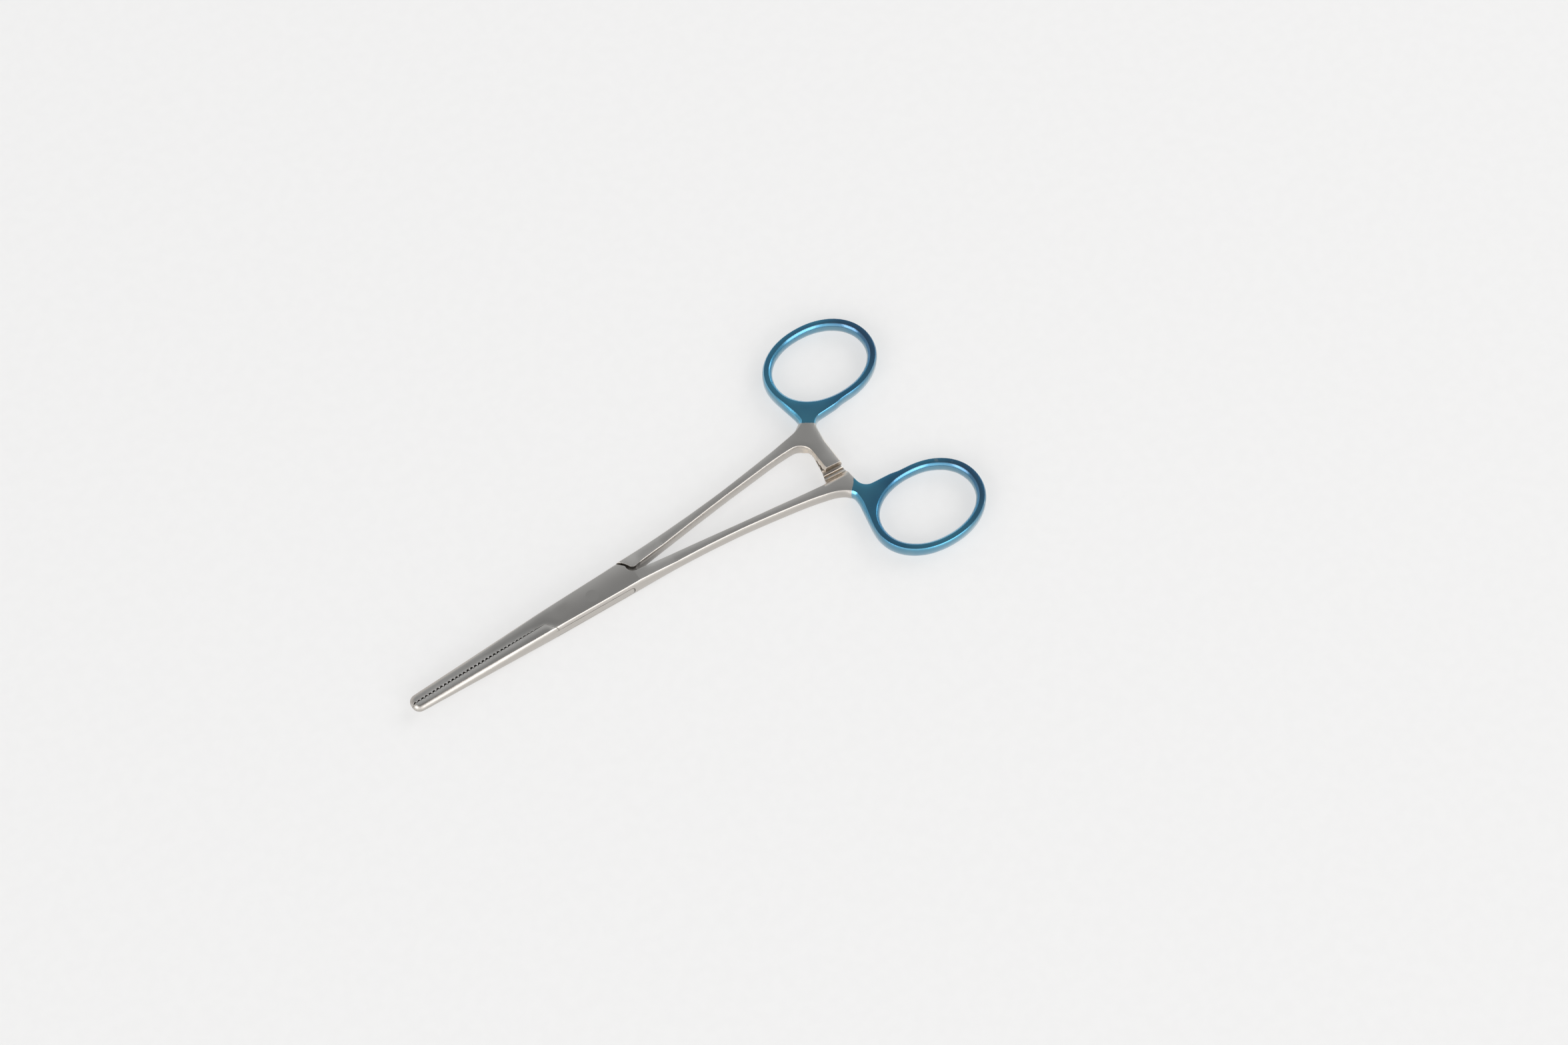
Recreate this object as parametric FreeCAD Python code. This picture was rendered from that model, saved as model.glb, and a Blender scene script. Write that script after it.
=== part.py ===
"""Straight artery forceps with a box lock, a ratchet and two finger rings.

Two forged halves cross in the lock: the tenon half runs through a slot in the box half,
and a pin pressed flush into the box half's two plates is the axis of the lock.

Frame: origin on the pin's axis at the height of the box's underside, +X towards the
rings along the closed jaws, +Y towards the ring of the tenon half, +Z up. Millimetres.
"""

import FreeCAD
import Part

import math
import os

# Lock
box_thick = 5.0            # over both plates
plate_thick = 1.2          # each plate of the box
slot_play = 0.10           # between the tenon and each plate
lock_radius = 10.5         # round end of the slot, measured from the pin's axis
lock_play = 0.10           # round end of the slot to the tenon
slot_rim_round = 0.9       # rounding of the slot's corners at its round end
seat_gap = 0.08            # jaw side of the plates to the tenon half's shoulder
mouth_gap = 0.68           # handle side of the plates to the tenon half's shoulder
root_play = 0.06           # where the two halves lie side by side inside the lock
crotch_lift = 0.60         # height of that line above the jaw line behind the pin
pin_radius = 1.6
pin_play = 0.03            # running clearance round the pin in the tenon

# Plates of the box, seen from above
plate_jaw_corner = (-13.4, 0.0)      # where the tooth line ends at the plate
plate_jaw_run = (2.05, -2.60)        # direction of the plate's edge from there
plate_mouth_outer = (9.25, 4.1)      # outer corner at the handle side
plate_mouth_knee = (10.8, 2.35)      # where the straight edge becomes the scoop
scoop_centre = (12.75, 1.9)
scoop_radius = 1.95
shoulder_low = (12.25, 1.15)         # lowest corner of the tenon half's shoulder

# Jaws
jaw_reach = 49.65          # pin axis to the end of the jaws' flats
jaw_full_x = -13.0         # where the jaws reach the box's thickness
tip_thick = 2.5
tip_round = 0.9
box_bulge = 0.50           # how far the sides of the box stand out between their edges
rear_x = 13.2              # where the inner side of a shank leaves the lock

# Jaws and box, along x: distance of the flat's edge from the jaw line, bulge of the side
tenon_jaw_edge = (
    (-jaw_reach, 1.02, 1.05), (-30.0, 1.70, 0.90), (jaw_full_x, 2.36, 0.56),
    (rear_x, 2.96, box_bulge),
)
box_jaw_edge = (
    (-jaw_reach, 1.36, 1.05), (-40.0, 1.80, 0.96), (jaw_full_x, 3.17, 0.55),
    (rear_x, 3.98, box_bulge),
)
edge_roll = ((-jaw_reach, 0.60), (-30.0, 0.75), (jaw_full_x, 0.42), (rear_x, 0.36))

# Teeth of the jaws: upright grooves through the whole height
tooth_pitch = 1.055
tooth_first = -49.75       # middle of the first groove of the box half
tooth_count = 33
box_groove = 0.46          # depth of a groove above the jaw line, box half
box_crest = 0.22           # how far its crests reach below the jaw line
tenon_crest = 0.05         # crests of the tenon half above the jaw line
crest_clearance = 0.08     # from a crest of the box half to the groove it lies in
tooth_fade = ((-50.0, 0.75), (-43.0, 1.0), (-29.0, 1.0), (-16.0, 0.35))

# Shanks: distance from the jaw line to the centre line at two stations, and its bow
shank_thick = 3.7
shank_start_x = 12.0       # where the thickness starts to drop behind the box
shank_full_x = 22.0        # where it has dropped
shank_bulge = 0.40
shank_run = (16.0, 58.0)
shank_widths = (
    (16.0, 2.65), (24.0, 2.20), (32.0, 1.72), (41.0, 1.45), (50.0, 1.68), (58.0, 1.95),
)
tenon_shank = (3.02, 7.90, 0.16)
box_shank = (1.66, 6.25, 0.40)
tenon_rear_y = 1.22
box_rear_y = 0.05

# The handles' own frame: its turn and its shift against the jaw line
handle_lean = -0.635
handle_shift = (0.20, 0.51)

# Necks, in the handles' own frame: corners (x, y, rounding)
neck_bulge = 0.95
tenon_neck = ((65.2, 10.45, 8.0), (68.85, 11.95, 1.7))
box_neck = ((65.0, 8.65, 12.0), (68.85, 11.0, 2.6))
web_corner = (68.85, 14.6, 8.0)      # where the outer side of the web turns to the ring
arm_left_x = 66.8          # sides of the ratchet arm at its end
arm_right_x = 70.15
web_inner = (arm_right_x + 0.6, 11.5, 3.2)       # corner between web and arm
web_foot = (78.5, 11.9, 9.0)         # where the web's inner side meets the ring

# Finger rings, in the handles' own frame
ring_centre_x = 81.5
ring_centre_y = 23.75
ring_hole_length = 26.9    # between the upper edges of the hole
ring_hole_width = 20.5
ring_band_ends = 1.30      # width of the flat band at the ring's ends
ring_band_sides = 1.10     # and at its sides
ring_squareness = 2.10     # 2 is an ellipse
ring_thick = 3.5
ring_bulge_out = 0.42
ring_bulge_in = 0.85
neck_drop_x = 64.0         # where the handles start to drop to the rings' thickness
ring_start_x = 74.0        # where they have dropped

# Ratchet arms, in the handles' own frame: corners (x, y, rounding)
arm_corner = (arm_right_x - 0.2, 4.6, 6.0)       # where its outer side turns to the web
tenon_crotch = ((arm_left_x - 0.6, -1.2, 3.0), (arm_left_x - 0.75, 7.45, 4.0))
box_crotch = ((arm_left_x - 1.05, 1.9, 6.0), (arm_left_x - 2.4, 5.75, 0.8))
tenon_arm_end = -1.95      # how far each arm's flat reaches past the handles' centre line
box_arm_end = -3.3
arm_end_lean = ((1.62, 0.22), (0.40, 0.42), (-0.05, 0.85))   # its end: height, how far out

# Ratchet: rows of teeth on the facing sides of the arms
ratchet_skew = -4.0        # turn of the teeth in the arm
ratchet_crests = (4.3, 2.85, 1.4, -0.05, -1.5, -2.98, -3.52)
ratchet_depth = 0.60
ratchet_face_run = 0.16    # how far a locking face leans
ratchet_tip_gap = 0.10     # between the two rows of crests
ramp_run = ((-3.9, -0.10), (-4.4, 0.14), (-5.0, 0.72), (-5.6, 1.38), (-6.15, 1.78))
ramp_top_y = -6.7                    # where the last hollow runs out into the arm's flat

# Values for building
side_section = ((-1.0, 0.0), (-0.75, 0.78), (0.0, 1.11), (0.75, 0.78), (1.0, 0.0))
roll_margin = 0.3          # height in which the sides roll inwards past the flats
blank_margin = 0.8         # how far a blank stands above and below before it is trimmed
far = 130.0                # larger than the part
point_step = 6.0           # spacing of points along straight edges
least_turn = 6.0           # a corner that turns by less needs no arc
ring_point_count = 24
ring_sweep = (188, -93)    # angles of the ring's outer side, from the neck to the web's foot

mid_z = box_thick / 2


def vec(x, y, z=0.0):
    return FreeCAD.Vector(x, y, z)


def placed(point, side):
    """A point of the handles' frame in the part's plan; side is -1 in a mirrored plan."""
    c = math.cos(math.radians(handle_lean))
    s = math.sin(math.radians(handle_lean)) * side
    x, y = point[0], point[1]
    x, y = x * c - y * s, x * s + y * c
    return (x + handle_shift[0], y + side * handle_shift[1]) + tuple(point[2:])


def place_tool(tool, side):
    """Bring a solid made in the handles' frame to the part's plan."""
    tool.rotate(vec(0, 0), vec(0, 0, 1), handle_lean * side)
    tool.translate(vec(handle_shift[0], side * handle_shift[1]))
    return tool


def between(x, table):
    """Straight interpolation in a table of (x, value)."""
    if x <= table[0][0]:
        return table[0][1]
    for (x0, v0), (x1, v1) in zip(table, table[1:]):
        if x <= x1:
            return v0 + (v1 - v0) * (x - x0) / (x1 - x0)
    return table[-1][1]


thickness_table = (
    (-jaw_reach, tip_thick),
    (jaw_full_x, box_thick),
    (shank_start_x, box_thick),
    (shank_full_x, shank_thick),
    (neck_drop_x, shank_thick),
    (ring_start_x, ring_thick),
)


def thickness_at(x):
    return between(x, thickness_table)


def prism(points, z0=-far, z1=far):
    """Upright solid over a closed plan outline of straight lines."""
    wire = Part.makePolygon([vec(p[0], p[1], z0) for p in points + points[:1]])
    return Part.Face(wire).extrude(vec(0, 0, z1 - z0))


def slab(x0, x1, y0, y1, z0, z1):
    return Part.makeBox(x1 - x0, y1 - y0, z1 - z0, vec(x0, y0, z0))


def corner_arc(before, here, after):
    """Tangent arc at a corner (x, y, radius): its points, at most 20 degrees apart."""
    x, y, radius = here[:3]
    ax, ay = before[0] - x, before[1] - y
    bx, by = after[0] - x, after[1] - y
    la, lb = math.hypot(ax, ay), math.hypot(bx, by)
    ax, ay, bx, by = ax / la, ay / la, bx / lb, by / lb
    turn = math.pi - math.acos(max(-1.0, min(1.0, ax * bx + ay * by)))
    if radius <= 0 or turn < math.radians(least_turn):
        return [(x, y)]
    reach = min(radius * math.tan(turn / 2), 0.47 * la, 0.47 * lb)
    radius = reach / math.tan(turn / 2)
    mx, my = ax + bx, ay + by
    lm = math.hypot(mx, my)
    depth = radius / math.cos(turn / 2)
    cx, cy = x + mx / lm * depth, y + my / lm * depth
    start = math.atan2(y + ay * reach - cy, x + ax * reach - cx)
    end = math.atan2(y + by * reach - cy, x + bx * reach - cx)
    sweep = (end - start + math.pi) % (2 * math.pi) - math.pi
    steps = 2 * max(1, int(math.ceil(math.degrees(turn) / 40)))
    return [
        (cx + radius * math.cos(start + sweep * i / steps),
         cy + radius * math.sin(start + sweep * i / steps))
        for i in range(steps + 1)
    ]


def outline(corners):
    """Points (x, y, bulge) round a closed outline of corners (x, y, radius, bulge)."""
    count = len(corners)
    arcs = []
    for i, here in enumerate(corners):
        arc = corner_arc(corners[i - 1], here, corners[(i + 1) % count])
        arcs.append([(x, y, here[3]) for x, y in arc])
    points = []
    for arc, following in zip(arcs, arcs[1:] + arcs[:1]):
        points += arc
        last, first = arc[-1], following[0]
        gap = math.hypot(first[0] - last[0], first[1] - last[1])
        steps = int(math.ceil(gap / point_step))
        for i in range(1, steps):
            share = i / steps
            points.append(tuple(a + (b - a) * share for a, b in zip(last, first)))
    return points


def oval(length, width, start, end, count):
    """Points of the ring's squared ellipse from one angle to another, in degrees."""
    points = []
    for i in range(count):
        angle = math.radians(start + (end - start) * i / (count - 1))
        c, s = math.cos(angle), math.sin(angle)
        x = length / 2 * math.copysign(abs(c) ** (2 / ring_squareness), c)
        y = width / 2 * math.copysign(abs(s) ** (2 / ring_squareness), s)
        points.append((ring_centre_x + x, ring_centre_y + y))
    return points


def normals(points):
    """Outward unit normals of a closed outline."""
    count = len(points)
    area = sum(
        points[i - 1][0] * points[i][1] - points[i][0] * points[i - 1][1]
        for i in range(count)
    )
    sign = 1 if area > 0 else -1
    result = []
    for i in range(count):
        ax, ay = points[i - 1][:2]
        bx, by = points[(i + 1) % count][:2]
        length = math.hypot(bx - ax, by - ay)
        result.append((sign * (by - ay) / length, -sign * (bx - ax) / length))
    return result


def blank(points, height_at):
    """Solid whose side stands out in a smooth bulge from a closed outline.

    The bulge is full at half height and dies out at the edges of the flats. Above and
    below the flats the side rolls inwards a little more, and is trimmed away there.
    """
    poles = []
    for (x, y, bulge), (nx, ny) in zip(points, normals(points)):
        half = height_at(x) / 2
        roll = -math.copysign(min(between(x, edge_roll), abs(bulge)), bulge)
        section = [(-blank_margin, roll), (mid_z - half - roll_margin, roll)]
        section += [(mid_z + level * half, share * bulge) for level, share in side_section]
        section += [(mid_z + half + roll_margin, roll), (box_thick + blank_margin, roll)]
        poles.append([vec(x + nx * out, y + ny * out, z) for z, out in section])
    rise = len(section) - 3
    surface = Part.BSplineSurface()
    surface.buildFromPolesMultsKnots(
        poles,
        [1] * (len(poles) + 1),
        [4] + [1] * (rise - 1) + [4],
        list(range(len(poles) + 1)),
        list(range(rise + 1)),
        True, False, 3, 3,
    )
    faces = [surface.toShape()]
    for v in (0, rise):
        faces.append(Part.Face(Part.Wire(surface.vIso(v).toShape())))
    shell = Part.makeShell(faces)
    shell.sewShape()
    solid = Part.Solid(shell)
    if solid.Volume < 0:
        solid.reverse()
    return solid


def side_profile():
    """Everything between the upper and lower flats, seen from the side."""
    table = ((-far, tip_thick),) + thickness_table + ((far, ring_thick),)
    upper = [(x, mid_z + thick / 2, 30.0) for x, thick in table]
    lower = [(x, mid_z - thick / 2, 30.0) for x, thick in reversed(table)]
    ring = upper + lower
    arcs = []
    for i, here in enumerate(ring):
        corner = here if abs(here[0]) < far else here[:2] + (0.0,)
        arc = corner_arc(ring[i - 1], corner, ring[(i + 1) % len(ring)])
        arcs.append([vec(p[0], -far, p[1]) for p in arc])
    edges = []
    for arc, following in zip(arcs, arcs[1:] + arcs[:1]):
        if len(arc) > 1:
            edges.append(Part.Arc(arc[0], arc[len(arc) // 2], arc[-1]).toShape())
        edges.append(Part.makeLine(arc[-1], following[0]))
    return Part.Face(Part.Wire(edges)).extrude(vec(0, 2 * far, 0))


# Outlines of the halves

def shank_edge(shank, side):
    """Corners along one edge of a shank; side is +1 away from the jaw line."""
    start, end, bow = shank
    corners = []
    for x, width in shank_widths:
        share = (x - shank_run[0]) / (shank_run[1] - shank_run[0])
        centre = start + (end - start) * share - bow * 4 * share * (1 - share)
        if side > 0:
            bulge = box_bulge + (shank_bulge - box_bulge) * min(1.0, 2 * share)
        else:
            bulge = shank_bulge * min(1.0, 0.5 + 2 * share)
        corners.append((x, centre + side * width / 2, 60.0, bulge))
    return corners


def handle_corners(neck, crotch, arm_end):
    """Corners round neck, ring and arm, from the shank's outer edge to its inner one."""
    around = oval(
        ring_hole_length + 2 * ring_band_ends, ring_hole_width + 2 * ring_band_sides,
        *ring_sweep, ring_point_count,
    )
    arm_tip = arm_end - 2.5
    corners = [c + (bulge,) for c, bulge in zip(neck, (shank_bulge, neck_bulge))]
    corners.append(web_corner + (neck_bulge,))
    corners += [(x, y, 0.0, ring_bulge_out) for x, y in around]
    corners += [
        web_foot + (ring_bulge_out,),
        web_inner + (ring_bulge_out,),
        arm_corner + (shank_bulge,),
        (arm_right_x, arm_tip, 1.0, shank_bulge),
        (arm_left_x, arm_tip, 1.0, shank_bulge),
    ]
    corners += [c + (shank_bulge,) for c in crotch]
    return corners


def leaf_corners(edge, side):
    """Corners along one side of jaws and box, from the tip to the rear."""
    corners = []
    for x, width, bulge in edge:
        radius = tip_round if x == -jaw_reach else 60.0
        corners.append((x, side * width, radius, bulge))
    return corners


def half_outline(side, shank, neck, crotch, arm_end, rear_y):
    """Closed outline of one half with its handle on the +Y side, jaws and box whole.

    side is +1 for the tenon half and -1 for the box half, whose plan is mirrored.
    """
    handle_side, other_side = box_jaw_edge, tenon_jaw_edge
    if side < 0:
        handle_side, other_side = tenon_jaw_edge, box_jaw_edge
    corners = [(rear_x, -other_side[-1][1], 0.6, box_bulge)]
    corners += reversed(leaf_corners(other_side, -1)[:-1])
    corners += leaf_corners(handle_side, +1)[:-1]
    corners += shank_edge(shank, +1)
    corners += [placed(c, side) for c in handle_corners(neck, crotch, arm_end)]
    corners += reversed(shank_edge(shank, -1))
    corners.append((rear_x, rear_y, 0.6, 0.02))
    return outline(corners)


def ring_hole(side):
    """Tool for the hole of a ring, slimmer at half height where the ring bulges in."""
    points = oval(ring_hole_length, ring_hole_width, 0, 360, ring_point_count + 1)[:-1]
    points = [placed(p, side) + (-ring_bulge_in,) for p in points]
    return blank(points, lambda x: ring_thick)


def arm_trim(arm_end, side):
    """Tool that ends an arm: from its flat the end leans out towards the crests."""
    section = [(0.0, far)] + [(-out, height) for height, out in arm_end_lean]
    section.append((section[-1][0], -far))
    section += [(-far, -far), (-far, far)]
    corners = [vec(arm_left_x - 3, arm_end + y, mid_z + side * z) for y, z in section]
    face = Part.Face(Part.makePolygon(corners + corners[:1]))
    return place_tool(skewed(face.extrude(vec(arm_right_x - arm_left_x + 6, 0, 0)), side), side)


def skewed(tool, side):
    """Turn a tool of the ratchet to the slant of its teeth."""
    tool.rotate(vec((arm_left_x + arm_right_x) / 2, 0), vec(0, 0, 1), ratchet_skew * side)
    return tool


def ratchet_tool():
    """Tool that mills the teeth and the last hollow into the arm on the -Y side."""
    crest_z = mid_z - ratchet_tip_gap / 2
    flat_z = mid_z + shank_thick / 2
    x0, x1 = arm_left_x - 3.2, arm_right_x + 1.0
    start = vec(x0, ratchet_crests[0], crest_z)
    edges = []
    here = start
    for crest, following in zip(ratchet_crests, ratchet_crests[1:]):
        valley = vec(x0, following + ratchet_face_run, crest_z - ratchet_depth)
        sag = vec(x0, (crest + following) / 2, crest_z - 0.72 * ratchet_depth)
        edges.append(Part.Arc(here, sag, valley).toShape())
        here = vec(x0, following, crest_z)
        edges.append(Part.makeLine(valley, here))
    top = vec(x0, ramp_top_y, flat_z)
    ramp = Part.BSplineCurve()
    ramp.interpolate([here] + [vec(x0, y, crest_z + up) for y, up in ramp_run] + [top])
    edges.append(ramp.toShape())
    over = vec(x0, ramp_top_y, far)
    back = vec(x0, ratchet_crests[0], far)
    edges.append(Part.makeLine(top, over))
    edges.append(Part.makeLine(over, back))
    edges.append(Part.makeLine(back, start))
    return Part.Face(Part.Wire(edges)).extrude(vec(x1 - x0, 0, 0))


# The lock

def tooth_edge(groove, crest, floor):
    """Plan points along a toothed edge, from the lock to beyond the tip.

    groove and crest are heights above the jaw line; floor lowers the whole edge.
    """
    points = []
    shape = ((-0.5, 0.0), (-0.34, 0.62), (-0.12, 1.0), (0.12, 1.0), (0.34, 0.62))
    for i in reversed(range(tooth_count)):
        middle = tooth_first + i * tooth_pitch
        fade = between(middle, tooth_fade)
        for along, up in reversed(shape):
            y = crest + (groove - crest) * up
            points.append((middle + along * tooth_pitch, y * fade - floor))
    return points


def jaw_region(groove, crest, floor, gap):
    """Full-height room of the tenon half's jaw: below the teeth, before the plates."""
    run_x, run_y = plate_jaw_run
    length = math.hypot(run_x, run_y)
    x = plate_jaw_corner[0] + gap * run_y / length
    y = plate_jaw_corner[1] - gap * run_x / length
    foot = (x + 3 * run_x, y + 3 * run_y)
    start = (x + (-floor - y) * run_x / run_y, -floor)
    points = [(foot[0], -far), foot, start]
    points += tooth_edge(groove, crest, floor)
    points += [(-far, points[-1][1]), (-far, -far)]
    return prism(points)


def mouth_region():
    """Full-height room behind the box's plates, on the tenon half's side."""
    knee, outer = plate_mouth_knee, plate_mouth_outer
    over = tuple(k + 3 * (o - k) for k, o in zip(knee, outer))
    start = math.degrees(math.atan2(knee[1] - scoop_centre[1], knee[0] - scoop_centre[0]))
    points = [(over[0], far), over]
    for i in range(7):
        angle = math.radians(start + (270 - start) * i / 6)
        points.append((scoop_centre[0] + scoop_radius * math.cos(angle),
                       scoop_centre[1] + scoop_radius * math.sin(angle)))
    points += [(rear_x + 1.0, -box_rear_y - 0.12), (rear_x + 1.0, far)]
    return prism(points)


def shoulder_region():
    """Full-height room of the tenon half's shank, clear of the plates."""
    knee, outer = plate_mouth_knee, plate_mouth_outer
    dx, dy = outer[0] - knee[0], outer[1] - knee[1]
    length = math.hypot(dx, dy)
    nx, ny = dy / length * mouth_gap, -dx / length * mouth_gap
    upper = (outer[0] + 2 * dx + nx, outer[1] + 2 * dy + ny)
    lower = (knee[0] + nx, knee[1] + ny)
    low = shoulder_low
    tail = (rear_x + 0.8, low[1] + 0.04)
    points = [(upper[0], far), upper]
    points += corner_arc(upper, lower + (1.2,), low)
    points += corner_arc(lower, low + (0.9,), tail)
    points += [tail, (tail[0], -far), (far, -far), (far, far)]
    return prism(points)


def puck(radius, height, rim):
    """Round slice about the pin's axis with rounded rims."""
    solid = Part.makeCylinder(radius, height, vec(0, 0, mid_z - height / 2))
    rims = [e for e in solid.Edges if e.Closed]
    return solid.makeFillet(rim, rims)


def lock_core(play, end_play, side_play):
    """Room for the tenon inside the box: the round slice and the roots of jaw and shank."""
    slot = box_thick - 2 * plate_thick - 2 * play
    z0, z1 = mid_z - slot / 2, mid_z + slot / 2
    core = puck(lock_radius - end_play, slot, slot_rim_round - play)
    front = slab(plate_jaw_corner[0] - 1, 0, -15, -side_play, z0, z1)
    back = slab(0, rear_x + 1.5, crotch_lift + side_play, 15, z0, z1)
    return core.fuse([front, back])


def cylinder(radius):
    return Part.makeCylinder(radius, box_thick)


def build_box_half(profile):
    points = half_outline(-1, box_shank, box_neck, box_crotch, box_arm_end, box_rear_y)
    solid = blank(points, thickness_at).common(profile)
    solid = solid.cut(ring_hole(-1))
    solid = solid.cut(arm_trim(box_arm_end, -1))
    solid = solid.mirror(vec(0, 0), vec(0, 1, 0))
    solid = solid.cut(place_tool(skewed(ratchet_tool(), 1), 1))
    solid = solid.cut(jaw_region(box_groove, -box_crest, 0.0, 0.0))
    solid = solid.cut(mouth_region())
    solid = solid.cut(lock_core(0.0, 0.0, 0.0))
    return solid.cut(cylinder(pin_radius))


def build_tenon_half(profile):
    points = half_outline(
        1, tenon_shank, tenon_neck, tenon_crotch, tenon_arm_end, tenon_rear_y)
    solid = blank(points, thickness_at).common(profile)
    solid = solid.cut(ring_hole(1))
    solid = solid.cut(arm_trim(tenon_arm_end, 1))
    teeth = ratchet_tool()
    teeth.rotate(vec(0, 0, mid_z), vec(1, 0, 0), 180)
    solid = solid.cut(place_tool(skewed(teeth, 1), 1))
    jaw = jaw_region(tenon_crest, -box_crest, crest_clearance, seat_gap)
    room = lock_core(slot_play, lock_play, root_play).fuse([jaw, shoulder_region()])
    solid = solid.common(room)
    return solid.cut(cylinder(pin_radius + pin_play))


def main():
    os.makedirs("parts", exist_ok=True)
    profile = side_profile()
    parts = {
        "box_half": build_box_half(profile),
        "tenon_half": build_tenon_half(profile),
        "pivot_pin": cylinder(pin_radius),
    }
    for name, shape in parts.items():
        if len(shape.Solids) == 1:
            shape = shape.Solids[0]
        box = shape.BoundBox
        print(name, shape.isValid(), len(shape.Solids), round(shape.Volume, 1), box)
        shape.exportStep("parts/" + name + ".step")


main()
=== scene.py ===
"""Straight hemostat forceps in satin ground steel, with dark blue coated finger rings.

They lie on a white table, in a white room with three large soft lamps. The flats mirror the dim
patch overhead and show as grey, while the rounded edges and side walls mirror the lamps and the
table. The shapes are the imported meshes: this script adds materials, table, light and camera.
Lengths are in metres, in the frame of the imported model, unless a comment says otherwise.
"""
import math

import bpy
from mathutils import Euler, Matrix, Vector

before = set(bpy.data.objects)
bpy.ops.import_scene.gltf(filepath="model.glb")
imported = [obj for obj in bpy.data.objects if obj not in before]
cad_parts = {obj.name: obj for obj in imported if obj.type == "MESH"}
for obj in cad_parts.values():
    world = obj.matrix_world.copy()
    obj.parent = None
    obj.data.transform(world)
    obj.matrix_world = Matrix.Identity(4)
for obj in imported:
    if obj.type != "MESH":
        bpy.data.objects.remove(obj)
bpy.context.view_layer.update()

MM = 0.001

# Camera, found from the outline of the forceps in the photograph
CAMERA_PLACE = (-0.195357, -0.370945, 0.826141)
CAMERA_TILT = math.radians(28.0)
CAMERA_TURN = math.radians(-34.068)
CAMERA_LENS = 88.255
SENSOR_WIDTH = 36.0
CLIP_START = 0.01

# Lamps: name, degrees round from the camera's side, degrees above the table, and power in watts
LAMPS = (
    ("near_light", 42, 26, 22),
    ("left_light", -50, 32, 28),
    ("right_light", 120, 32, 28),
)
LAMP_DISTANCE = 3.0
LAMP_SIZE = 2.0
LAMP_AIM = Vector((0.02, 0, 0))

# Room: its strength at the sides and overhead, and how much brighter its near and far sides are
ROOM_SIDES = 0.55
ROOM_OVERHEAD = 0.165
ROOM_NEAR_GAIN = 2.4
ROOM_FAR_GAIN = 1.3

# Table: half its width, its place just below the forceps, its two shades and its own glow,
# which keeps shadows as faint as in the photograph
TABLE_REACH = 3.0
TABLE_HEIGHT = -0.02 * MM
TABLE_SHADES = ((0.355, 0.352, 0.348), (0.367, 0.364, 0.360))
TABLE_GLOW = 0.545

# Start of the blue coat on each half: a point of its edge and the direction towards the ring, both
# in the handles' own frame, which leans and is shifted in the model's
HANDLE_LEAN = math.radians(-0.635)
HANDLE_SHIFT = (0.20 * MM, 0.51 * MM)
TENON_COAT = ((69.3 * MM, 11.05 * MM), (0.557, 0.830))
BOX_COAT = ((68.5 * MM, 10.30 * MM), (0.761, 0.649))
COAT_WOBBLE = 0.12 * MM
COAT_SHARPNESS = 0.03 * MM

# Ground edges: how far each kind of face rounds off at its edges
EDGE_WALL = 0.60 * MM
EDGE_FINE = 0.18 * MM
EDGE_FLAT_NEAR = 0.07 * MM
EDGE_FLAT_FAR = 0.32 * MM
JAW_BREAK = 0.55           # how much of an edge's flat break is left on the jaws

# Crown of the ground faces: how far it reaches in from the edges and how strong it is
CROWN_REACH = 3.0 * MM
CROWN_FLAT = 0.60
CROWN_WALL = 0.1
CROWN_RINGS = 0.4
BOX_CROWN = 55.0           # slope for each metre from the jaw line, on top of the box

# Round zones, by distance from the pin's axis: where each starts to fade and has faded
PIN_FADE = (1.9 * MM, 2.3 * MM)
BOX_FADE = (5.0 * MM, 8.0 * MM)
BOX_LONGER = 9.0 * MM      # the box's zone reaches further on the handles' side

# Outline of the slot in the sides of the box
SLOT_MIDDLE = 2.5 * MM
SLOT_HALF = 1.3 * MM
SLOT_END = 10.05 * MM
SLOT_CORNER = 0.9 * MM
SEAM_FADE = (0.13 * MM, 0.07 * MM)
SEAM_JAW_END = (-12.0 * MM, -11.6 * MM)

# Zones, each as fades along coordinates in millimetres: name, where it is 0, where it is 1
SLOT_SIDES = (("off_middle", 1.75, 1.60), ("off_x", 13.4, 12.9))
JAW_TEETH = (("x", -12.8, -13.2), ("off_y", 0.85, 0.70))
PLATE_END = (("x", -10.6, -10.9), ("x", -14.0, -13.6), ("y", -2.75, -2.6), ("y", 0.9, 0.7))
RATCHET_ARMS = (("x", 62.0, 63.0), ("x", 71.5, 70.5))
RATCHET = (("x", 61.5, 62.5), ("x", 71.5, 70.5), ("off_y", 7.0, 5.0))
# The mouth of the box and the crotch between the halves are zones of painted shade
MOUTH_SHADE = (("x", 8.4, 9.2), ("x", 15.0, 14.3), ("y", -0.4, 0.0), ("y", 3.9, 3.5))
CROTCH_SHADE = (("x", 26.0, 14.0), ("x", 12.5, 13.5), ("z", 3.8, 2.6), ("off_y", 3.4, 2.6))

STEEL = (0.68, 0.67, 0.65)
STEEL_DARK = (0.61, 0.60, 0.58)
# Painted shade: the walls get a darker, warmer steel than the flats
SHADED_STEEL_SIDE = (0.54, 0.51, 0.475)
STEEL_RATCHET = (0.78, 0.69, 0.59)
# Painted shade in hollows: a brown, which is partly tarnish as well, and a near black, which also
# darkens the seams; and how far the ambient occlusion that lays them on looks
TARNISH_AND_SHADE = (0.34, 0.27, 0.21)
SHADE_AND_SEAM_DARK = (0.05, 0.045, 0.04)
SHADE_REACH = 0.9 * MM
RATCHET_OPENNESS = 0.60    # its teeth stay bright, although they lie in a narrow gap
# How dark the painted shade in the mouth and crotch, and the seams of the slot, are made
SHADE_AND_SEAM_DARKNESS = 0.75
FLAT_ROUGHNESS = 0.34
SIDE_ROUGHNESS = 0.30
RIPPLE_HEIGHT = 0.010 * MM
STEEL_RIPPLE = 0.20

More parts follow.
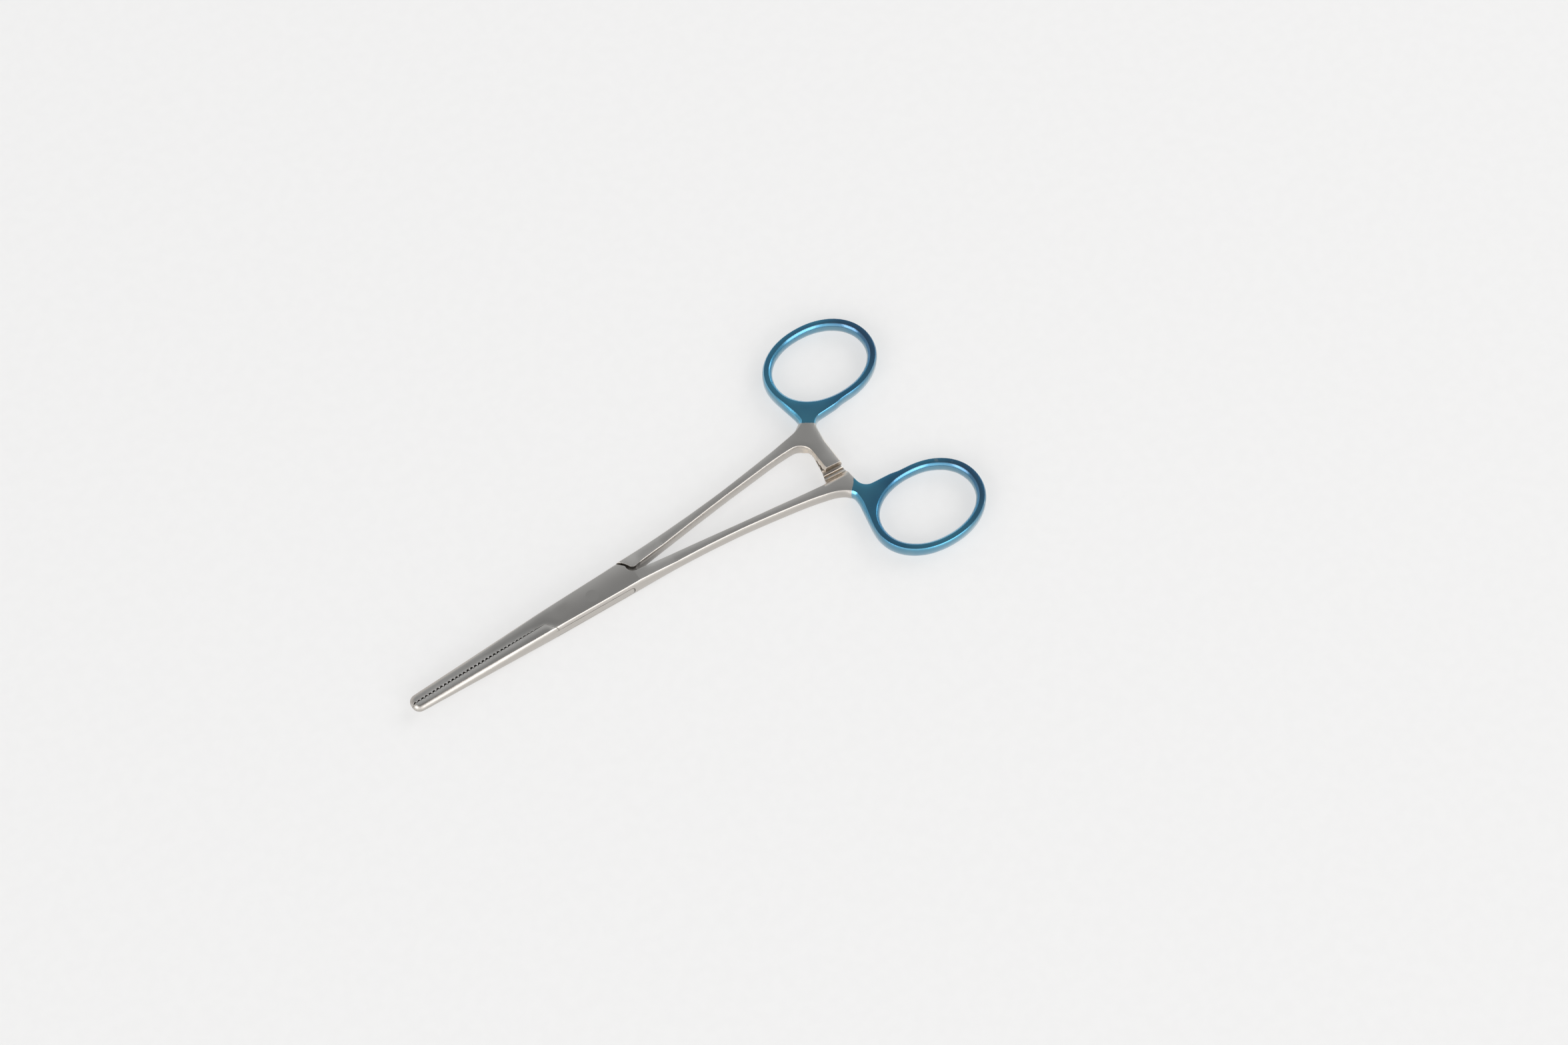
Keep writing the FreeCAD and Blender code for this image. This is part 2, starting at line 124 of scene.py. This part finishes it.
COAT_DEEP = (0.025, 0.25, 0.48)
COAT_TEAL = (0.080, 0.44, 0.68)
COAT_NAVY = (0.025, 0.13, 0.28)
# Painted light: the walls' blues are duller and greyer than the flats', for the different light
# they reflect
COAT_WALL = (0.07, 0.25, 0.36)
COAT_PALE = (0.13, 0.29, 0.37)
COAT_RIM = (0.35, 0.50, 0.60)
COAT_RIM_WIDTH = 0.30 * MM
COAT_RIPPLE = 0.04
COAT_GLOSS = {"Coat Weight": 1.0, "Coat Roughness": 0.14, "Coat IOR": 1.75}

X_AXIS, Y_AXIS, Z_AXIS = (1, 0, 0), (0, 1, 0), (0, 0, 1)


class Nodes:
    """Adds nodes to one tree; a value is either a number or the socket that it comes from."""

    def __init__(self, tree):
        self.tree = tree
        tree.nodes.clear()

    def add(self, kind, settings=None, values=None):
        node = self.tree.nodes.new("ShaderNode" + kind)
        for name, value in (settings or {}).items():
            setattr(node, name, value)
        for key, value in (values or {}).items():
            if isinstance(value, bpy.types.NodeSocket):
                self.tree.links.new(value, node.inputs[key])
            else:
                node.inputs[key].default_value = value
        return node

    def math(self, operation, *terms):
        return self.add("Math", {"operation": operation}, dict(enumerate(terms))).outputs[0]

    def product(self, first, *others):
        for other in others:
            first = self.math("MULTIPLY", first, other)
        return first

    def largest(self, first, *others):
        for other in others:
            first = self.math("MAXIMUM", first, other)
        return first

    def rest_of(self, share):
        return self.math("SUBTRACT", 1.0, share)

    def between(self, share, first, second):
        """Runs evenly from first to second while share goes from 0 to 1."""
        left = self.product(self.rest_of(share), first)
        return self.math("ADD", left, self.product(share, second))

    def ramp(self, value, low, high, start=0.0, end=1.0):
        """Runs smoothly from start to end while the value goes from low to high."""
        values = {"Value": value, "From Min": low, "From Max": high, "To Min": start, "To Max": end}
        node = self.add("MapRange", {"interpolation_type": "SMOOTHSTEP"}, values)
        return node.outputs["Result"]

    def mix(self, share, first, second):
        """Colour between two others, which are either tuples or sockets."""
        ends = {
            key: colour if isinstance(colour, bpy.types.NodeSocket) else (*colour, 1.0)
            for key, colour in ((6, first), (7, second))
        }
        return self.add("Mix", {"data_type": "RGBA"}, {0: share, **ends}).outputs[2]

    def vector(self, operation, *terms):
        return self.add("VectorMath", {"operation": operation}, dict(enumerate(terms))).outputs[0]

    def dot(self, vector, direction):
        values = {0: vector, 1: direction}
        return self.add("VectorMath", {"operation": "DOT_PRODUCT"}, values).outputs["Value"]

    def length(self, vector):
        return self.add("VectorMath", {"operation": "LENGTH"}, {0: vector}).outputs["Value"]

    def flattened(self, vector):
        return self.vector("MULTIPLY", vector, (1, 1, 0))

    def scaled(self, vector, share):
        values = {0: vector, "Scale": share}
        return self.add("VectorMath", {"operation": "SCALE"}, values).outputs[0]

    def bevel(self, radius, samples):
        return self.add("Bevel", {"samples": samples}, {"Radius": radius}).outputs[0]

    def bump(self, height, strength, normal):
        depth = {"Strength": strength, "Distance": RIPPLE_HEIGHT}
        return self.add("Bump", {}, {**depth, "Height": height, "Normal": normal}).outputs[0]

    def noise(self, place, scale, detail=2.0, stretch=(1.0, 1.0, 1.0)):
        spread = self.add("Mapping", {"vector_type": "POINT"}, {"Vector": place, "Scale": stretch})
        values = {"Vector": spread.outputs[0], "Scale": scale, "Detail": detail, "Roughness": 0.5}
        return self.add("TexNoise", {}, values).outputs["Fac"]

    def place(self):
        """Place on the part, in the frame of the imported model."""
        return self.add("TexCoord").outputs["Object"]

    def true_normal(self):
        return self.add("NewGeometry").outputs["Normal"]

    def metal(self, colour, roughness, normal, **gloss):
        values = {"Base Color": colour, "Metallic": 1.0, "Roughness": roughness, "Normal": normal}
        return self.add("BsdfPrincipled", {}, {**values, **gloss}).outputs[0]

    def finish(self, shader, kind="OutputMaterial"):
        self.add(kind, {}, {"Surface": shader})


def new_material(name):
    material = bpy.data.materials.new(name)
    material.use_nodes = True
    return material, Nodes(material.node_tree)


def facing_up(nodes):
    """1 on faces that look straight up or down, 0 on the walls."""
    return nodes.math("ABSOLUTE", nodes.dot(nodes.add("TexCoord").outputs["Normal"], Z_AXIS))


def coordinates(nodes, place):
    """The coordinates in which zones are given; a name with off_ is a distance to either side."""
    x, y, z = (nodes.dot(place, axis) for axis in (X_AXIS, Y_AXIS, Z_AXIS))
    from_middle = nodes.math("SUBTRACT", z, SLOT_MIDDLE)
    off = {"off_x": x, "off_y": y, "off_middle": from_middle}
    return {"x": x, "y": y, "z": z, **{name: nodes.math("ABSOLUTE", v) for name, v in off.items()}}


def zone(nodes, at, fades):
    """1 inside a zone, 0 outside it."""
    return nodes.product(*(nodes.ramp(at[name], low * MM, high * MM) for name, low, high in fades))


def edge_radius(nodes, at, flat, fine, broad):
    """How far the surface rounds off at its edges: less on the flats, and least on fine detail."""
    off_jaw_line = nodes.largest(
        nodes.ramp(at["y"], 0.7 * MM, 1.0 * MM), nodes.ramp(at["x"], 13.0 * MM, 15.0 * MM)
    )
    before_rings = nodes.ramp(at["x"], 60.0 * MM, 55.0 * MM)
    faces_away = nodes.ramp(nodes.dot(broad, Y_AXIS), -0.02, 0.05)
    far_edge = nodes.product(faces_away, off_jaw_line, before_rings)
    on_flat = nodes.ramp(far_edge, 0.0, 1.0, EDGE_FLAT_NEAR, EDGE_FLAT_FAR)
    detail = nodes.largest(zone(nodes, at, RATCHET_ARMS), fine)
    on_wall = nodes.ramp(detail, 0.0, 1.0, EDGE_WALL, EDGE_FINE)
    return nodes.between(flat, on_wall, on_flat)


def broken_edge(nodes, at, edge, not_broken):
    """The normal of an edge, with a flat break of 45 degrees where a wall meets a flat."""
    true = nodes.true_normal()
    rise = nodes.math("SUBTRACT", nodes.dot(edge, Z_AXIS), nodes.dot(true, Z_AXIS))
    upright = nodes.add("CombineXYZ", {}, {2: nodes.math("SIGN", rise)}).outputs[0]
    slope = nodes.vector("ADD", nodes.flattened(true), upright)
    broken = nodes.product(
        nodes.ramp(nodes.math("ABSOLUTE", rise), 0.03, 0.20),
        nodes.rest_of(not_broken),
        nodes.ramp(at["x"], -18.0 * MM, -12.0 * MM, JAW_BREAK, 1.0),
    )
    rounded = nodes.scaled(edge, nodes.rest_of(broken))
    return nodes.vector("ADD", rounded, nodes.scaled(slope, broken))


def ground_edges(nodes, place, at):
    """Normal of edges that are rounded by grinding, and of faces that are a little crowned by it.

    Around the pin, which is ground away together with the plates, the crown is taken from the
    distance to the jaw line instead of from the edges.
    """
    from_pin = nodes.length(nodes.flattened(place))
    longer = nodes.ramp(at["x"], -2.0 * MM, 2.0 * MM, 0.0, BOX_LONGER)
    beyond_box = nodes.ramp(nodes.math("SUBTRACT", from_pin, longer), *BOX_FADE)
    flat = nodes.ramp(facing_up(nodes), 0.90, 0.99)
    fine = nodes.largest(*(zone(nodes, at, fades) for fades in (SLOT_SIDES, JAW_TEETH, PLATE_END)))
    broad = nodes.bevel(CROWN_REACH, 6)

    radius = edge_radius(nodes, at, flat, fine, broad)
    radius = nodes.product(radius, nodes.ramp(from_pin, *PIN_FADE))
    edge = broken_edge(nodes, at, nodes.bevel(radius, 4), nodes.largest(flat, fine))

    crown = nodes.product(
        beyond_box,
        nodes.ramp(flat, 0.0, 1.0, CROWN_WALL, CROWN_FLAT),
        nodes.ramp(at["x"], 55.0 * MM, 62.0 * MM, 1.0, CROWN_RINGS),
    )
    across = nodes.vector("MULTIPLY", place, (0, BOX_CROWN, 0))
    spaces = {"convert_from": "OBJECT", "convert_to": "WORLD"}
    across = nodes.add("VectorTransform", spaces, {0: across}).outputs[0]
    box_crown = nodes.product(nodes.rest_of(beyond_box), flat)

    normal = nodes.vector("ADD", edge, nodes.scaled(broad, crown))
    normal = nodes.vector("ADD", normal, nodes.scaled(across, box_crown))
    return nodes.vector("NORMALIZE", normal)


def slot_seam(nodes, place, at):
    """1 along the outline of the slot in the sides of the box, where the two halves meet."""
    along = nodes.product(at["x"], nodes.math("SIGN", at["y"]), -1.0)
    past_x = nodes.largest(nodes.math("SUBTRACT", along, SLOT_END - SLOT_CORNER), 0.0)
    past_z = nodes.largest(nodes.math("SUBTRACT", at["off_middle"], SLOT_HALF - SLOT_CORNER), 0.0)
    squares = nodes.math("ADD", nodes.product(past_x, past_x), nodes.product(past_z, past_z))
    from_line = nodes.math("SUBTRACT", nodes.math("SQRT", squares), SLOT_CORNER)
    line = nodes.ramp(nodes.math("ABSOLUTE", from_line), *SEAM_FADE)
    patchy = nodes.ramp(nodes.noise(place, 350, 1.0), 0.38, 0.52, 0.45, 1.0)
    return nodes.product(line, nodes.ramp(along, *SEAM_JAW_END), patchy)


def steel_colour(nodes, place, at, side):
    clouds = nodes.noise(place, 60)
    colour = nodes.mix(nodes.ramp(clouds, 0.35, 0.65), STEEL_DARK, STEEL)
    # Painted shade: the walls are given the darker, warmer steel
    colour = nodes.mix(side, colour, SHADED_STEEL_SIDE)

    # Painted shade where little light gets in, found by ambient occlusion: brown, which is partly
    # tarnish as well, then near black deeper in
    ratchet = zone(nodes, at, RATCHET)
    reach = {"Distance": SHADE_REACH}
    openness = nodes.add("AmbientOcclusion", {"samples": 6}, reach).outputs["AO"]
    openness = nodes.math("ADD", openness, nodes.product(ratchet, RATCHET_OPENNESS))
    colour = nodes.mix(nodes.ramp(openness, 0.70, 0.35, 0.0, 0.55), colour, TARNISH_AND_SHADE)
    colour = nodes.mix(nodes.ramp(openness, 0.48, 0.15, 0.0, 0.92), colour, SHADE_AND_SEAM_DARK)
    # Painted shade in the mouth of the box and in the crotch between the halves, and the dark seams
    # along the slot
    dark = nodes.largest(
        zone(nodes, at, MOUTH_SHADE), zone(nodes, at, CROTCH_SHADE), slot_seam(nodes, place, at)
    )
    colour = nodes.mix(nodes.product(dark, side, SHADE_AND_SEAM_DARKNESS), colour, SHADE_AND_SEAM_DARK)

    worn = nodes.ramp(nodes.noise(place, 700, 3.0), 0.30, 0.62, 0.25, 0.85)
    return nodes.mix(nodes.product(ratchet, side, worn), colour, STEEL_RATCHET)


def steel_surface(nodes, place, at, rounded):
    """Satin ground steel, with a fine grain and faint streaks along its length."""
    flat = nodes.ramp(facing_up(nodes), 0.90, 0.995)
    side = nodes.rest_of(flat)
    grain = nodes.noise(place, 5200)
    streaks = nodes.noise(place, 900, 2.0, (0.12, 1.6, 1.6))
    flat_rough = nodes.math("ADD", FLAT_ROUGHNESS, nodes.ramp(grain, 0.35, 0.65, -0.03, 0.03))
    side_rough = nodes.math("ADD", SIDE_ROUGHNESS, nodes.ramp(streaks, 0.3, 0.7, -0.02, 0.02))
    rough = nodes.between(flat, side_rough, flat_rough)
    ripple = nodes.math("ADD", nodes.product(grain, 0.7), nodes.product(streaks, 0.15))
    relief = nodes.bump(ripple, STEEL_RIPPLE, rounded)
    return nodes.metal(steel_colour(nodes, place, at, side), rough, relief)


def coat_surface(nodes, place, rounded, past_edge):
    """The blue coat: teal to deep blue, lighter along its edge, with a few small blemishes."""
    drift = nodes.noise(place, 48)
    colour = nodes.mix(nodes.ramp(drift, 0.35, 0.65), COAT_DEEP, COAT_TEAL)
    ring_end = nodes.ramp(nodes.dot(place, X_AXIS), 86.0 * MM, 95.0 * MM, 0.0, 0.8)
    colour = nodes.mix(ring_end, colour, COAT_NAVY)
    # Painted light: the walls get their own duller, greyer blue than the flats
    wall = nodes.mix(nodes.ramp(nodes.noise(place, 160), 0.38, 0.62), COAT_WALL, COAT_PALE)
    colour = nodes.mix(nodes.ramp(facing_up(nodes), 0.85, 0.25, 0.0, 0.85), colour, wall)
    rim = nodes.ramp(past_edge, 0.0, COAT_RIM_WIDTH, 0.25, 0.0)
    colour = nodes.mix(rim, colour, COAT_RIM)
    specks = nodes.ramp(nodes.noise(place, 420, 1.0), 0.73, 0.78, 0.0, 0.5)
    colour = nodes.mix(specks, colour, COAT_RIM)
    waves = nodes.noise(place, 260)
    rough = nodes.ramp(waves, 0.3, 0.7, 0.19, 0.23)
    return nodes.metal(colour, rough, nodes.bump(waves, COAT_RIPPLE, rounded), **COAT_GLOSS)


def past_coat_edge(nodes, place, side, coat):
    """How far a place lies past the start of the coat; side is -1 on the half at the -Y side."""
    (edge_x, edge_y), (towards_x, towards_y) = coat
    turn = complex(math.cos(HANDLE_LEAN), math.sin(HANDLE_LEAN))
    point = complex(edge_x, edge_y) * turn + complex(*HANDLE_SHIFT)
    towards = complex(towards_x, towards_y) * turn
    start = Vector((point.real, side * point.imag, 0))
    direction = Vector((towards.real, side * towards.imag, 0))
    reach = nodes.math("SUBTRACT", nodes.dot(place, direction), start.dot(direction))
    wobble = nodes.ramp(nodes.noise(place, 500), 0.3, 0.7, -COAT_WOBBLE, COAT_WOBBLE)
    return nodes.math("ADD", reach, wobble)


def forged_half(name, side, coat):
    """Material of one forged half: steel, and the blue coat from its edge to the ring's end."""
    material, nodes = new_material(name)
    place = nodes.place()
    at = coordinates(nodes, place)
    rounded = ground_edges(nodes, place, at)
    past_edge = past_coat_edge(nodes, place, side, coat)
    coated = nodes.ramp(past_edge, -COAT_SHARPNESS, COAT_SHARPNESS)
    bare = steel_surface(nodes, place, at, rounded)
    blue = coat_surface(nodes, place, rounded, past_edge)
    nodes.finish(nodes.add("MixShader", {}, {0: coated, 1: bare, 2: blue}).outputs[0])
    return material


def plain_steel(name):
    material, nodes = new_material(name)
    place = nodes.place()
    nodes.finish(steel_surface(nodes, place, coordinates(nodes, place), nodes.true_normal()))
    return material


def table_top():
    """A large white sheet under the forceps."""
    corners = [(x * TABLE_REACH, y * TABLE_REACH) for x, y in ((-1, -1), (1, -1), (1, 1), (-1, 1))]
    mesh = bpy.data.meshes.new("table")
    mesh.from_pydata([(x, y, TABLE_HEIGHT) for x, y in corners], [], [(0, 1, 2, 3)])
    table = bpy.data.objects.new("table", mesh)
    bpy.context.scene.collection.objects.link(table)
    material, nodes = new_material("table")
    paper = nodes.ramp(nodes.noise(nodes.place(), 300, 3.0), 0.3, 0.7)
    colour = nodes.mix(paper, *TABLE_SHADES)
    glow = {"Emission Color": (1, 1, 1, 1), "Emission Strength": TABLE_GLOW}
    values = {"Base Color": colour, "Roughness": 0.8, **glow}
    nodes.finish(nodes.add("BsdfPrincipled", {}, values).outputs[0])
    mesh.materials.append(material)


def soft_light(name, azimuth, elevation, power):
    """A square lamp that faces the middle of the forceps."""
    lamp = bpy.data.lights.new(name, "AREA")
    lamp.size = LAMP_SIZE
    lamp.energy = power
    place = bpy.data.objects.new(name, lamp)
    turn, rise = math.radians(azimuth), math.radians(elevation)
    level = math.cos(rise)
    towards = Vector((level * math.cos(turn), level * math.sin(turn), math.sin(rise)))
    place.location = towards * LAMP_DISTANCE + LAMP_AIM
    place.rotation_euler = towards.to_track_quat("Z", "Y").to_euler()
    bpy.context.scene.collection.objects.link(place)


def surroundings():
    """A white room that is dimmest overhead, and brighter on the near side than on the far side."""
    world = bpy.data.worlds.new("room")
    world.use_nodes = True
    nodes = Nodes(world.node_tree)
    direction = nodes.add("TexCoord").outputs["Generated"]
    far = Vector((-CAMERA_PLACE[0], -CAMERA_PLACE[1], 0)).normalized()
    farward = nodes.dot(direction, far)
    strength = nodes.product(
        nodes.ramp(nodes.dot(direction, Z_AXIS), 0.45, 0.93, ROOM_SIDES, ROOM_OVERHEAD),
        nodes.ramp(farward, -0.25, -0.65, 1.0, ROOM_NEAR_GAIN),
        nodes.ramp(farward, 0.0, 0.5, 1.0, ROOM_FAR_GAIN),
    )
    values = {"Color": (1.0, 1.0, 1.0, 1.0), "Strength": strength}
    nodes.finish(nodes.add("Background", {}, values).outputs[0], "OutputWorld")
    bpy.context.scene.world = world


def camera():
    lens = bpy.data.cameras.new("camera")
    lens.lens = CAMERA_LENS
    lens.sensor_width = SENSOR_WIDTH
    lens.clip_start = CLIP_START
    place = bpy.data.objects.new("camera", lens)
    place.location = CAMERA_PLACE
    place.rotation_euler = Euler((CAMERA_TILT, 0.0, CAMERA_TURN))
    bpy.context.scene.collection.objects.link(place)
    bpy.context.scene.camera = place


def dress(node, material):
    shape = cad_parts[node]
    shape.data.materials.clear()
    shape.data.materials.append(material)


bpy.context.scene.view_settings.view_transform = "Standard"
camera()
surroundings()
table_top()
camera_side = math.degrees(math.atan2(CAMERA_PLACE[1], CAMERA_PLACE[0]))
for name, turn, elevation, power in LAMPS:
    soft_light(name, camera_side + turn, elevation, power)

dress("tenon_half", forged_half("tenon_steel", 1, TENON_COAT))
dress("box_half", forged_half("box_steel", -1, BOX_COAT))
dress("pivot_pin", plain_steel("pin_steel"))
